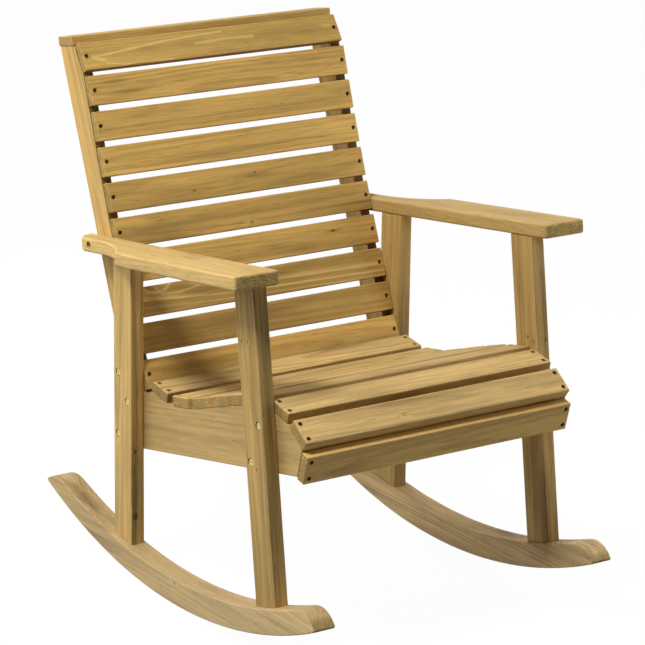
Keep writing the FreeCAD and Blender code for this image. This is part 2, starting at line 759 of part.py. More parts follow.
def seat_side_rail(side):
    """Straight along the bottom, shaped along the top to carry each slat and the back upright."""
    apron_back = shifted(apron_frame, 0, 1, 0).Base - apron_frame.Base
    front_low = meet(apron_frame.Base, apron_back, rail_bottom, rail_along)
    rear = size("rail_rear_y")
    points = [front_low] + rail_top + [Vector(0, rear, shelf_height), rail_bottom_at(rear)]
    label = "seat_side_rail_" + side
    start = "Sizes.seat_width / 2 - Sizes.rail_thickness"
    blank = side_board(label + "_blank", side, polygon(points), start, "Sizes.rail_thickness")
    ease_long_edges(blank, "Sizes.rail_edge")
    return drilled(label, blank, rail_holes(side))


def front_cross_rail():
    """A board between the seat rails, a little behind the apron."""
    label = "front_cross_rail"
    blank = doc.addObject("PartDesign::Body", label + "_blank")
    add_board(blank, CROSS_RAIL_LENGTH, "Sizes.cross_rail_width", "Sizes.cross_rail_thickness")
    ease_long_edges(blank, "Sizes.slat_edge")
    blank.Placement = cross_rail_frame
    return drilled(label, blank, cross_rail_holes())


def back_upright(side):
    """Straight along the rear, faceted along the front to carry each back slat."""
    points = []
    for frame in back_frames:
        points.append(shifted(frame, 0, -back_half_width, 0).Base)
        points.append(shifted(frame, 0, back_half_width, 0).Base)
    points[0] = meet(points[0], points[1] - points[0], shelf, backwards)
    points[-1] = meet(points[-1], points[-1] - points[-2], cap_seat, cap_along)
    points += [cap_rear, meet(rear_edge, recline_up, shelf, backwards)]
    label = "back_upright_" + side
    start = "Sizes.seat_width / 2 - Sizes.upright_thickness"
    blank = side_board(label + "_blank", side, polygon(points), start, "Sizes.upright_thickness")
    ease_long_edges(blank, "Sizes.upright_edge")
    return drilled(label, blank, upright_holes(side))


for side in SIDES:
    rocker(side)
    leg(side, "front")
    leg(side, "rear")
    armrest(side)
    seat_side_rail(side)
    back_upright(side)

for number, frame in enumerate(seat_frames, start=1):
    slat("seat_slat_%02d" % number, frame, "Sizes.seat_slat_width", "Sizes.seat_slat_thickness", seat_screw_spots())
slat("front_apron", apron_frame, "Sizes.apron_width", "Sizes.seat_slat_thickness", seat_screw_spots())
front_cross_rail()
for number, frame in enumerate(back_frames, start=1):
    slat("back_slat_%02d" % number, frame, "Sizes.back_slat_width", "Sizes.back_slat_thickness", back_screw_spots())
slat("back_top_cap", cap_frame, "Sizes.cap_depth", "Sizes.cap_thickness", back_screw_spots(), CAP_LENGTH)


# Fasteners: one body of each kind, with its head's seat at Z 0 and its shank along minus Z

def add_round(body, kind, name, diameter, height, base):
    """A cylinder along Z, added to or cut from a fastener."""
    cylinder = body.newObject("PartDesign::%sCylinder" % kind, name)
    cylinder.setExpression("Radius", "(%s) / 2" % diameter)
    cylinder.setExpression("Height", height)
    cylinder.AttachmentSupport = (origin_plane(body, "XY_Plane"), [""])
    cylinder.MapMode = "FlatFace"
    cylinder.setExpression("AttachmentOffset.Base.z", base)
    doc.recompute()
    return cylinder


def add_hexagon(body, kind, name, flats, height, base):
    """A six-sided prism along Z, added to or cut from a fastener."""
    prism = body.newObject("PartDesign::%sPrism" % kind, name)
    prism.Polygon = 6
    prism.setExpression("Circumradius", "%s / sqrt(3)" % flats)
    prism.setExpression("Height", height)
    prism.AttachmentSupport = (origin_plane(body, "XY_Plane"), [""])
    prism.MapMode = "FlatFace"
    prism.setExpression("AttachmentOffset.Base.z", base)
    doc.recompute()
    return prism


def cross_recess(body, head_height):
    """Two crossed slots in a screw's head."""
    slot_sizes = [("Sizes.screw_slot_length", "Sizes.screw_slot_width"),
                  ("Sizes.screw_slot_width", "Sizes.screw_slot_length")]
    for number, (length, width) in enumerate(slot_sizes, start=1):
        slot = body.newObject("PartDesign::SubtractiveBox", "%s_slot_%d" % (body.Label, number))
        slot.setExpression("Length", length)
        slot.setExpression("Width", width)
        slot.setExpression("Height", "Sizes.screw_slot_depth")
        slot.AttachmentSupport = (origin_plane(body, "XY_Plane"), [""])
        slot.MapMode = "FlatFace"
        slot.setExpression("AttachmentOffset.Base.x", "-%s / 2" % length)
        slot.setExpression("AttachmentOffset.Base.y", "-%s / 2" % width)
        slot.setExpression("AttachmentOffset.Base.z", "%s - Sizes.screw_slot_depth" % head_height)
        doc.recompute()


def screw(label, prefix):
    """A round-headed wood screw with a cross recess."""
    body = doc.addObject("PartDesign::Body", label)
    length = "%s_length" % prefix
    add_round(body, "Additive", label + "_shank", prefix + "_diameter", length, "-" + length)
    head_height = prefix + "_head_height"
    add_round(body, "Additive", label + "_head", prefix + "_head_diameter", head_height, "0")
    cross_recess(body, head_height)
    return body


def frame_bolt():
    """A low round-headed bolt with a hex socket."""
    body = doc.addObject("PartDesign::Body", "frame_bolt")
    add_round(body, "Additive", "bolt_shank", "Sizes.bolt_diameter", "Sizes.bolt_length", "-Sizes.bolt_length")
    head = add_round(body, "Additive", "bolt_head", "Sizes.bolt_head_diameter", "Sizes.bolt_head_height", "0")
    top = size("bolt_head_height")
    rim = chosen_edges(head.Shape, lambda edge: edge.BoundBox.ZMin > top / 2 and edge.BoundBox.ZLength < 0.01)
    add_fillet(body, head, rim, "Sizes.bolt_rim")
    depth = "Sizes.bolt_socket_depth"
    add_hexagon(body, "Subtractive", "bolt_socket", "Sizes.bolt_socket", depth, "Sizes.bolt_head_height - " + depth)
    return body


def frame_washer():
    body = doc.addObject("PartDesign::Body", "frame_washer")
    thickness = "Sizes.washer_thickness"
    add_round(body, "Additive", "washer_disc", "Sizes.washer_diameter", thickness, "0")
    add_round(body, "Subtractive", "washer_bore", "Sizes.bolt_diameter + 2 * Sizes.bolt_fit", thickness, "0")
    return body


def frame_nut():
    body = doc.addObject("PartDesign::Body", "frame_nut")
    height = "Sizes.nut_height"
    add_hexagon(body, "Additive", "nut_block", "Sizes.nut_flats", height, "0")
    add_round(body, "Subtractive", "nut_bore", "Sizes.bolt_diameter + 2 * Sizes.bolt_fit", height, "0")
    return body


def round_dowel():
    body = doc.addObject("PartDesign::Body", "round_dowel")
    base = "Sizes.dowel_short_end - Sizes.dowel_length"
    add_round(body, "Additive", "dowel_rod", "Sizes.dowel_diameter", "Sizes.dowel_length", base)
    return body


def slat_screw_frames():
    """Frames under the heads of all the slat screws."""
    frames = []
    groups = [
        (seat_frames_with_apron, seat_screw_spots(), size("seat_slat_thickness")),
        (back_frames, back_screw_spots(), size("back_slat_thickness")),
        ([cap_frame], back_screw_spots(), size("cap_thickness")),
    ]
    for slat_frames, spots, thickness in groups:
        for frame in slat_frames:
            frames += [shifted(frame, x, y, thickness - size("screw_sink_depth")) for x, y in spots]
    return frames


def nut_seat(side, spot, board):
    """Frame on the inner face of a rail or upright, Z pointing into the chair."""
    outwards = SIDES[side]
    point = Vector(outwards * (half_seat - size(board + "_thickness")), spot.y, spot.z)
    return axis_frame(point, Vector(-outwards, 0, 0))


bolt_places = []
dowel_places = []
cross_rail_dowel_places = []
foot_screw_places = []
for side in SIDES:
    bolt_places.append((side, tail_bolt_spot(), "upright"))
    cross_rail_dowel_places += cross_rail_dowel_frames(side)
    for name in ("front", "rear"):
        bolt_places += [(side, spot, board) for spot, board in bolt_spots(name)]
        dowel_places += dowel_frames(side, name)
        foot_screw_places += foot_screw_frames(side, name)
bolt_frames = [bolt_frame(side, spot) for side, spot, _ in bolt_places]
washer_frames = [nut_seat(side, spot, board) for side, spot, board in bolt_places]
nut_frames = [shifted(frame, 0, 0, size("washer_thickness")) for frame in washer_frames]

fastener_group("slat_screws", screw("slat_screw", "Sizes.screw"), slat_screw_frames(), steel_nodes)
fastener_group("rocker_screws", screw("rocker_screw", "Sizes.foot_screw"), foot_screw_places, steel_nodes)
fastener_group("frame_bolts", frame_bolt(), bolt_frames, steel_nodes)
fastener_group("frame_washers", frame_washer(), washer_frames, steel_nodes)
fastener_group("frame_nuts", frame_nut(), nut_frames, steel_nodes)
dowel = round_dowel()
fastener_group("armrest_dowels", dowel, dowel_places, wood_nodes)
fastener_group("cross_rail_dowels", dowel, cross_rail_dowel_places, wood_nodes)
doc.recompute()


# Rest pose: tip the chair about the rockers' centre until its weight hangs below that centre.

def rest_placement():
    mass = 0.0
    moment = Vector()
    for nodes, density in ((wood_nodes, size("wood_density")), (steel_nodes, size("steel_density"))):
        for node in nodes:
            for solid in node.Shape.Solids:
                mass += solid.Volume * density
                moment += solid.CenterOfMass * (solid.Volume * density)
    hang = moment * (1 / mass) - arc_centre
    pitch = math.degrees(math.atan2(hang.y, -hang.z))
    return Placement(Vector(), Rotation(Vector(1, 0, 0), -pitch), arc_centre)


nodes = wood_nodes + steel_nodes
rest = rest_placement()
for node in nodes:
    node.Placement = rest.multiply(node.Placement)

# Centre the chair on Y 0 from front to back.
box = Part.makeCompound([node.Shape for node in nodes]).optimalBoundingBox(False)
centring = Placement(Vector(0, -(box.YMin + box.YMax) / 2, 0), Rotation())
for node in nodes:
    node.Placement = centring.multiply(node.Placement)

for item in doc.Objects:
    if "Invalid" in item.State or "Error" in item.State:
        raise ValueError("%s did not build" % item.Label)
for node in nodes:
    if node.Shape.isNull() or not node.Shape.isValid():
        raise ValueError("%s has no valid shape" % node.Label)

os.makedirs("parts", exist_ok=True)
for node in nodes:
    node.Shape.exportStep("parts/%s.step" % node.Label)

pitch = rest.Rotation.toEuler()[2]
print("pitch %.3f, shift %.3f" % (pitch, centring.Base.y))
print("nodes %d, width %.1f, depth %.1f, height %.1f" % (len(nodes), box.XLength, box.YLength, box.ZLength))
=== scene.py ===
import math
import random
import bpy
import numpy as np
from mathutils import Matrix, Vector


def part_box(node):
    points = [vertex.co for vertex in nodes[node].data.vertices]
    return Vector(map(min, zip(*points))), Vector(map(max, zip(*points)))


# Looks for a slatted wooden rocking chair: stained softwood boards, plated screws and bolts.
# Metres, with X to the right as seen from the front, Y to the chair's back and Z up.
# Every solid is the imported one; this file gives the finishes, the light and the camera.

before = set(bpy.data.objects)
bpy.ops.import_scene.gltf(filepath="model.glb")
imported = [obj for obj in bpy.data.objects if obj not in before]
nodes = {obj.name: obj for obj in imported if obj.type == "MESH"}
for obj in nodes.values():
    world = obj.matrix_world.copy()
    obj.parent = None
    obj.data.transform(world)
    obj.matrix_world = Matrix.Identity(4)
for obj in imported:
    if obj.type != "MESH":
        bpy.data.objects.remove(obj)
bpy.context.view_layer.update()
FULL_TURN = 2 * math.pi


def linear(red, green, blue):
    """A colour given as a screen shows it, 0 to 255, as the light values that the shaders use."""
    def channel(value):
        share = value / 255
        return share / 12.92 if share <= 0.04045 else ((share + 0.055) / 1.055) ** 2.4

    return (channel(red), channel(green), channel(blue), 1.0)


def for_name(name, table, otherwise=None):
    """What a table says for the first of its keys that a board's name starts with."""
    return next((entry for start, entry in table.items() if name.startswith(start)), otherwise)


# Node trees

class Graph:
    """Adds nodes to one node tree and links them."""

    def __init__(self, tree):
        self.tree = tree

    def node(self, kind, **settings):
        made = self.tree.nodes.new(kind)
        for name, value in settings.items():
            setattr(made, name, value)
        return made

    def feed(self, socket, value):
        """Links a socket to another node's output, or sets it to a plain value."""
        if isinstance(value, bpy.types.NodeSocket):
            self.tree.links.new(value, socket)
        else:
            socket.default_value = value

    def math(self, operation, first, second=0.0, clamp=False):
        made = self.node("ShaderNodeMath", operation=operation, use_clamp=clamp)
        self.feed(made.inputs[0], first)
        self.feed(made.inputs[1], second)
        return made.outputs[0]

    def vector(self, operation, first, second):
        made = self.node("ShaderNodeVectorMath", operation=operation)
        self.feed(made.inputs[0], first)
        self.feed(made.inputs[1], second)
        return made.outputs["Value"] if operation == "DOT_PRODUCT" else made.outputs["Vector"]

    def scaled(self, vector, share):
        made = self.node("ShaderNodeVectorMath", operation="SCALE")
        self.feed(made.inputs[0], vector)
        self.feed(made.inputs["Scale"], share)
        return made.outputs["Vector"]

    def length(self, vector):
        made = self.node("ShaderNodeVectorMath", operation="LENGTH")
        self.feed(made.inputs[0], vector)
        return made.outputs["Value"]

    def parts(self, vector):
        made = self.node("ShaderNodeSeparateXYZ")
        self.feed(made.inputs[0], vector)
        return made.outputs

    def ramp(self, value, low, high, start=0.0, end=1.0):
        """Goes smoothly from start to end as the value goes from low to high."""
        made = self.node("ShaderNodeMapRange", interpolation_type="SMOOTHSTEP")
        self.feed(made.inputs["Value"], value)
        made.inputs["From Min"].default_value = low
        made.inputs["From Max"].default_value = high
        made.inputs["To Min"].default_value = start
        made.inputs["To Max"].default_value = end
        return made.outputs["Result"]

    def noise(self, point, stretch, seed, detail=2.0):
        """Soft noise, 0 to 1, with this many lumps per metre along each axis."""
        scaled = self.vector("MULTIPLY", point, stretch)
        made = self.node("ShaderNodeTexNoise", noise_dimensions="4D")
        self.feed(made.inputs["Vector"], scaled)
        self.feed(made.inputs["W"], seed)
        made.inputs["Scale"].default_value = 1.0
        made.inputs["Detail"].default_value = detail
        return made

    def mix(self, share, first, second, blend="MIX"):
        made = self.node("ShaderNodeMix", data_type="RGBA", blend_type=blend)
        self.feed(made.inputs["Factor"], share)
        self.feed(made.inputs[6], first)
        self.feed(made.inputs[7], second)
        return made.outputs[2]


def new_material(name):
    material = bpy.data.materials.new(name)
    material.use_nodes = True
    graph = Graph(material.node_tree)
    shader = material.node_tree.nodes["Principled BSDF"]
    return material, graph, shader


# Wood

WOOD_INPUTS = [
    ("Point", "NodeSocketVector"),
    ("Normal", "NodeSocketVector"),
    ("Pith", "NodeSocketVector"),
    ("Lean", "NodeSocketVector"),
    ("Wave", "NodeSocketVector"),
    ("Ring", "NodeSocketFloat"),
    ("Figure", "NodeSocketFloat"),
    ("Streak", "NodeSocketFloat"),
    ("Smoke", "NodeSocketFloat"),
    ("Seed", "NodeSocketFloat"),
    ("Bend", "NodeSocketFloat"),
    ("Knot", "NodeSocketFloat"),
    ("Smudge", "NodeSocketFloat"),
    ("Pale", "NodeSocketFloat"),
    ("Tone", "NodeSocketColor"),
    ("Line", "NodeSocketColor"),
    ("End", "NodeSocketColor"),
]
WOOD_OUTPUTS = [
    ("Color", "NodeSocketColor"),
    ("Roughness", "NodeSocketFloat"),
    ("Height", "NodeSocketFloat"),
]
SMOKE_AND_SHADE_COLOUR = linear(112, 86, 44)
KNOT_COLOUR = linear(88, 56, 26)
PALE_COLOUR = linear(234, 198, 116)
EDGE_WEAR_AND_HIGHLIGHT_COLOUR = linear(226, 188, 122)


def pith_distance(g, inputs):
    """How far each point lies from the pith, which leans, waves and wanders along the board."""
    point, seed = inputs["Point"], inputs["Seed"]
    along = g.parts(point)[0]
    wander_size, lean_across, lean_out = g.parts(inputs["Lean"])[:3]
    wave_height, waves, phase = g.parts(inputs["Wave"])[:3]
    swing = g.math("COSINE", g.math("ADD", g.math("MULTIPLY", along, waves), phase))
    drift = g.node("ShaderNodeCombineXYZ")
    g.feed(drift.inputs[1], g.math("MULTIPLY", along, lean_across))
    wave = g.math("MULTIPLY", swing, wave_height)
    g.feed(drift.inputs[2], g.math("SUBTRACT", g.math("MULTIPLY", along, lean_out), wave))
    wander = g.noise(point, (2.2, 12, 12), seed, 1.0).outputs["Color"]
    wander = g.vector("SUBTRACT", wander, (0.5, 0.5, 0.5))
    wander = g.scaled(wander, wander_size)
    offset = g.vector("SUBTRACT", point, inputs["Pith"])
    offset = g.vector("SUBTRACT", offset, drift.outputs[0])
    offset = g.vector("ADD", offset, wander)
    reach = g.length(g.vector("MULTIPLY", offset, (0, 1, 1)))
    ripple = g.noise(point, (8, 70, 70), seed, 2.0).outputs["Fac"]
    ripple = g.math("MULTIPLY", g.math("SUBTRACT", ripple, 0.5), 0.0012)
    return g.math("ADD", g.math("ADD", reach, ripple), inputs["Bend"])


def ring_lines(g, inputs):
    """Growth rings: a slow rise to the late wood, then a sharp fall; some years show more than others."""
    turns = g.math("DIVIDE", pith_distance(g, inputs), inputs["Ring"])
    within = g.math("FRACT", turns)
    line = g.math("MULTIPLY", g.ramp(within, 0.4, 0.9), g.ramp(within, 0.9, 1.0, 1.0, 0.0))
    year = g.node("ShaderNodeCombineXYZ")
    g.feed(year.inputs[0], g.math("FLOOR", turns))
    g.feed(year.inputs[1], inputs["Seed"])
    strength = g.node("ShaderNodeTexWhiteNoise", noise_dimensions="2D")
    g.feed(strength.inputs["Vector"], year.outputs[0])
    return g.math("MULTIPLY", line, g.ramp(strength.outputs["Value"], 0, 1, 0.45, 1.0))


def wood_group():
    """Solid wood: growth rings round a pith, cut by the faces of the board, then streaks, stain, painted
    face shade and a painted edge highlight.
    """
    tree = bpy.data.node_groups.new("stained_softwood", "ShaderNodeTree")
    for name, kind in WOOD_INPUTS:
        tree.interface.new_socket(name, in_out="INPUT", socket_type=kind)
    for name, kind in WOOD_OUTPUTS:
        tree.interface.new_socket(name, in_out="OUTPUT", socket_type=kind)
    g = Graph(tree)
    inputs = g.node("NodeGroupInput").outputs
    outputs = g.node("NodeGroupOutput").inputs
    point, seed = inputs["Point"], inputs["Seed"]
    line = ring_lines(g, inputs)

    # Streaks, bands and fibres run along the grain
    streak = g.noise(point, (1.8, 75, 75), seed, 4.0).outputs["Fac"]
    band = g.noise(point, (2.6, 26, 26), g.math("ADD", seed, 3.0), 1.0).outputs["Fac"]
    fibre = g.noise(point, (18, 420, 420), seed, 2.0).outputs["Fac"]
    band = g.math("MULTIPLY", g.math("SUBTRACT", band, 0.5), 0.8)
    shade = g.math("ADD", g.math("SUBTRACT", streak, 0.5), band)
    shade = g.math("MULTIPLY", shade, inputs["Streak"])
    shade = g.math("ADD", shade, g.math("MULTIPLY", g.math("SUBTRACT", fibre, 0.5), 0.62))
    colour = g.mix(g.math("MULTIPLY", line, inputs["Figure"]), inputs["Tone"], inputs["Line"])
    colour = g.scaled(colour, g.math("ADD", shade, 1.0))

    # Smoky stain in drawn-out clouds, short dark fibres, the marks that one board has, and painted shade on
    # whole faces
    cloud = g.noise(point, (3.6, 30, 30), g.math("ADD", seed, 7.0), 2.0).outputs["Fac"]
    smoke_and_shade = g.math("MULTIPLY", g.ramp(cloud, 0.5, 0.8), inputs["Smoke"])
    dash = g.noise(point, (34, 520, 520), g.math("ADD", seed, 11.0), 1.0).outputs["Fac"]
    smoke_and_shade = g.math("ADD", smoke_and_shade, g.ramp(dash, 0.62, 0.74, 0.0, 0.34))
    # The smudge mask also brings painted shade on faces that look one way
    smoke_and_shade = g.math("ADD", smoke_and_shade, inputs["Smudge"], clamp=True)
    colour = g.mix(smoke_and_shade, colour, SMOKE_AND_SHADE_COLOUR)
    colour = g.mix(inputs["Pale"], colour, PALE_COLOUR)
    colour = g.mix(inputs["Knot"], colour, KNOT_COLOUR)

    # Sawn ends take more stain and show their rings; eased edges are rubbed paler and carry a painted
    # highlight
    facing = g.node("ShaderNodeVectorMath", operation="ABSOLUTE")
    g.feed(facing.inputs[0], inputs["Normal"])
    facing = g.parts(facing.outputs["Vector"])
    end = g.ramp(facing[0], 0.55, 0.9)
    speck = g.noise(point, (200, 330, 330), seed, 2.0).outputs["Fac"]
    blotch = g.noise(point, (60, 75, 75), seed, 1.0).outputs["Fac"]
    end_colour = g.mix(g.math("MULTIPLY", line, 0.7), inputs["End"], SMOKE_AND_SHADE_COLOUR)
    end_colour = g.scaled(end_colour, g.ramp(speck, 0.2, 0.8, 0.65, 1.35))
    end_colour = g.scaled(end_colour, g.ramp(blotch, 0.3, 0.7, 0.8, 1.2))
    colour = g.mix(g.math("MULTIPLY", end, 0.85), colour, end_colour)
    # Paler eased edges: rubbed wear together with a painted highlight along them
    squarest = g.math("MAXIMUM", facing[0], g.math("MAXIMUM", facing[1], facing[2]))
    rub_and_highlight = g.noise(point, (30, 90, 90), seed, 3.0).outputs["Fac"]
    edge = g.math("MULTIPLY", g.ramp(squarest, 0.86, 0.98, 1.0, 0.0), g.ramp(rub_and_highlight, 0.35, 0.7, 0.0, 0.35))
    colour = g.mix(edge, colour, EDGE_WEAR_AND_HIGHLIGHT_COLOUR)
    g.feed(outputs["Color"], colour)

    rough = g.math("ADD", g.ramp(fibre, 0.2, 0.8, 0.6, 0.74), g.math("MULTIPLY", end, 0.15))
    g.feed(outputs["Roughness"], rough)
    height = g.math("ADD", g.math("MULTIPLY", line, 0.3), g.math("MULTIPLY", fibre, 0.5))
    g.feed(outputs["Height"], height)
    return tree


def board_axes(obj):
    """A board's middle and its own axes as rows: along the grain, across the face, out of the face."""
    mesh = obj.data
    normals = np.empty(len(mesh.polygons) * 3, np.float32)
    areas = np.empty(len(mesh.polygons), np.float32)
    mesh.polygons.foreach_get("normal", normals)
    mesh.polygons.foreach_get("area", areas)
    normals = normals.reshape(-1, 3).astype(float)
    spread = (normals * areas[:, None]).T @ normals
    directions = np.linalg.eigh(spread)[1].T
    along = Vector(directions[0])
    out = Vector(directions[2])
    if max(along, key=abs) < 0:
        along = -along
    low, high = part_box(obj.name)
    middle = (low + high) / 2
    wanted = Vector((0, -1, 1)) if abs(out.x) < 0.5 else Vector((middle.x, 0, 0))
    if out.dot(wanted) < 0:
        out = -out
    return middle, Matrix((along, out.cross(along), out))


def add_marks(graph, point, marks):
    """Masks of one board's own marks, by kind, and how far its knots push the rings aside."""
    masks = {"Knot": 0.0, "Smudge": 0.0, "Pale": 0.0}
    push = 0.0
    for kind, place, radius, strength in marks:
        shifted = graph.vector("SUBTRACT", point, [share / 1000 for share in place])
        distance = graph.length(graph.vector("MULTIPLY", shifted, MARK_SQUEEZE[kind]))
        radius = radius / 1000
        inner = radius * MARK_CORE[kind]
        masks[kind] = graph.math("ADD", masks[kind], graph.ramp(distance, inner, radius, strength, 0.0))
        if kind == "Knot":
            push = graph.math("ADD", push, graph.ramp(distance, 0, radius * 3, radius * 0.8, 0.0))
    return masks, push


def line_distance(graph, point, start, end):
    """How far each point lies, seen square to the face, from the straight line between two places."""
    start = Vector((*start, 0)) / 1000
    reach = Vector((*end, 0)) / 1000 - start
    offset = graph.vector("MULTIPLY", graph.vector("SUBTRACT", point, start), (1, 1, 0))
    share = graph.vector("DOT_PRODUCT", offset, reach / reach.length_squared)
    nearest = graph.scaled(reach, graph.math("ADD", share, 0.0, clamp=True))
    return graph.length(graph.vector("SUBTRACT", offset, nearest))


def pale_lines(graph, point, lines):
    """A mask of the pale ring lines of one board, each a run of short straight lines with soft sides."""
    mask = 0.0
    wobble = graph.noise(point, (25, 60, 60), 5.0, 2.0).outputs["Fac"]
    for places, width, strength in lines:
        distance = 1.0
        for start, end in zip(places, places[1:]):
            distance = graph.math("MINIMUM", line_distance(graph, point, start, end), distance)
        distance = graph.math("MULTIPLY", distance, graph.ramp(wobble, 0.3, 0.7, 1.5, 0.7))
        mask = graph.math("ADD", mask, graph.ramp(distance, 0, width / 1000, strength, 0.0))
    return mask


def face_share(graph, normal, direction, start, end):
    """Goes from start to end on the faces that look in one direction."""
    return graph.ramp(graph.vector("DOT_PRODUCT", normal, direction), 0.4, 0.8, start, end)


def wood_material(obj, group, look):
    """One board's wood, laid along its own grain."""
    material, graph, shader = new_material("wood_" + obj.name)
    middle, axes = board_axes(obj)
    turn = axes.to_euler("XYZ")
    coordinates = graph.node("ShaderNodeTexCoord")
    place = graph.node("ShaderNodeMapping", vector_type="POINT")
    place.inputs["Rotation"].default_value = turn
    place.inputs["Location"].default_value = -(axes @ middle)
    graph.feed(place.inputs["Vector"], coordinates.outputs["Object"])
    facing = graph.node("ShaderNodeMapping", vector_type="VECTOR")
    facing.inputs["Rotation"].default_value = turn
    graph.feed(facing.inputs["Vector"], coordinates.outputs["Normal"])

    wood = graph.node("ShaderNodeGroup", node_tree=group)
    point = place.outputs["Vector"]
    graph.feed(wood.inputs["Point"], point)
    graph.feed(wood.inputs["Normal"], facing.outputs["Vector"])
    for name, value in look.items():
        wood.inputs[name.capitalize()].default_value = value
    masks, push = add_marks(graph, point, MARKS.get(obj.name, []))
    if obj.name in PALE_LINES:
        lines = pale_lines(graph, point, PALE_LINES[obj.name])
        masks["Pale"] = graph.math("ADD", masks["Pale"], lines)
    normal = coordinates.outputs["Normal"]
    # Painted shade on faces that look one way goes into the smudge-and-shade mask
    for start, direction, strength in PAINTED_FACE_SHADES:
        if obj.name.startswith(start):
            painted_shade = face_share(graph, normal, direction, 0.0, strength)
            masks["Smudge"] = graph.math("ADD", masks["Smudge"], painted_shade)
    front_streak = for_name(obj.name, FRONT_STREAKS)
    if front_streak:
        streak = face_share(graph, normal, FRONT, look["streak"], front_streak)
        graph.feed(wood.inputs["Streak"], streak)
    for name, mask in masks.items():
        graph.feed(wood.inputs[name], mask)
    graph.feed(wood.inputs["Bend"], push)

    bump = graph.node("ShaderNodeBump")
    bump.inputs["Strength"].default_value = 0.25
    bump.inputs["Distance"].default_value = 0.0006
    graph.feed(bump.inputs["Height"], wood.outputs["Height"])
    graph.feed(shader.inputs["Base Color"], wood.outputs["Color"])
    graph.feed(shader.inputs["Roughness"], wood.outputs["Roughness"])
    graph.feed(shader.inputs["Normal"], bump.outputs["Normal"])
    shader.inputs["Specular IOR Level"].default_value = 0.2
    return material


# Boards: each kind's tone, the width of its rings in millimetres, and how far rings, streaks and smoke show

DARK_LINE = linear(146, 108, 54)
PALE_LINE = linear(250, 214, 138)
KINDS = {
    "rocker": ((0.62, 0.45, 0.22), 5.0, 0.34, 0.62, 0.45),
    "front_leg": ((0.53, 0.35, 0.12), 3.4, 0.50, 0.95, 0.60),
    "rear_leg": ((0.63, 0.42, 0.147), 4.2, 0.40, 0.50, 0.40),
    "armrest": ((0.64, 0.435, 0.16), 5.5, 0.24, 0.36, 0.30),
    "seat_side_rail": ((0.59, 0.40, 0.155), 5.5, 0.30, 0.72, 0.50),
    "back_upright": ((0.57, 0.37, 0.12), 4.0, 0.45, 1.10, 0.45),
    "seat_slat": ((0.65, 0.44, 0.172), 3.8, 0.42, 0.74, 0.45),
    "front_apron": ((0.82, 0.53, 0.175), 4.5, 0.32, 0.60, 0.40),
    "back_slat": ((0.68, 0.425, 0.117), 5.0, 0.36, 0.85, 0.65),
    "back_top_cap": ((0.61, 0.39, 0.12), 4.0, 0.35, 0.60, 0.45),
    "front_cross_rail": ((0.59, 0.40, 0.155), 5.5, 0.30, 0.72, 0.50),
    "armrest_dowels": ((0.62, 0.43, 0.17), 3.0, 0.20, 0.30, 0.20),
    "cross_rail_dowels": ((0.62, 0.43, 0.17), 3.0, 0.20, 0.30, 0.20),
}

# Boards that came out lighter or darker than the rest of their kind
BOARD_VALUES = {
    "rear_leg_left": 1.10,
    "rear_leg_right": 0.87,
    "front_leg_right": 0.90,
    "back_upright_right": 0.78,
    "back_slat_01": 0.92,
    "back_slat_02": 0.76,
    "back_slat_03": 0.78,
    "back_slat_04": 1.08,
    "back_slat_05": 0.90,
    "back_slat_06": 0.89,
    "back_slat_07": 1.19,
    "back_slat_08": 1.05,
    "back_slat_09": 1.12,
    "back_slat_10": 0.93,
    "seat_slat_01": 1.10,
    "seat_slat_02": 1.07,
    "seat_slat_06": 0.87,
    "seat_slat_08": 1.12,
}

# Boards with a grain of their own
SPECIAL = {
    "back_slat_10": {"figure": 0.22, "streak": 0.6, "smoke": 0.2},
    "back_slat_01": {"smoke": 0.25},
    "back_slat_03": {"line": PALE_LINE, "figure": 0.7},
    "rocker_right": {"figure": 0.55, "streak": 1.5},
}

# Colour of the sawn ends, and how much lighter or darker it is on single boards and kinds
END_COLOUR = linear(160, 135, 80)
END_VALUES = {"armrest_left": 1.35, "armrest_right": 1.68, "back_slat": 0.9, "back_top_cap": 1.1}

# Painted shade: faces that look one way are darkened where shade falls on them: how the boards' names
# start, where the face looks, strength
FRONT = (0, -1, 0)
TOP = (0, 0, 1)
UNDERSIDE = (0, 0, -1)
LEFT_SIDE = (-1, 0, 0)
PAINTED_FACE_SHADES = [
    ("back_upright", FRONT, 0.85),
    ("back_slat", UNDERSIDE, 0.9),
    ("seat_slat_01", FRONT, 0.4),
    ("seat_slat_07", FRONT, 0.5),
    ("rocker_left", TOP, 0.23),
    ("rocker_left", FRONT, 0.4),
    ("armrest_right", LEFT_SIDE, 0.25),
]

# Streaks on the front faces of boards that show tight grain there
FRONT_STREAKS = {"front_leg": 2.8, "rear_leg_left": 2.8, "rear_leg_right": 1.6}

# Pale ring lines on single boards: places along and across the face, width in millimetres, strength
PALE_LINES = {
    "back_slat_10": [
        ([(-226, -11.7), (-247, -3.7), (-203, 0.9), (-158, 5.3), (-105, 11), (-47, 14.2), (20, 17)],
         3.4, 1.0),
        ([(-222, -17), (-188, -22.5), (-150, -21), (-90, -23)], 2.6, 0.8),
        ([(-38, 0), (20, 3), (82, 2.2)], 5.0, 0.7),
    ],
    "back_slat_03": [
        ([(-211, 23), (-199, 7.5), (-163, 7.2), (-120, 13.4)], 3.0, 0.6),
        ([(-262, 5.3), (-233, 5.3), (-190, -1), (-145, -4.2)], 2.6, 0.5),
    ],
}

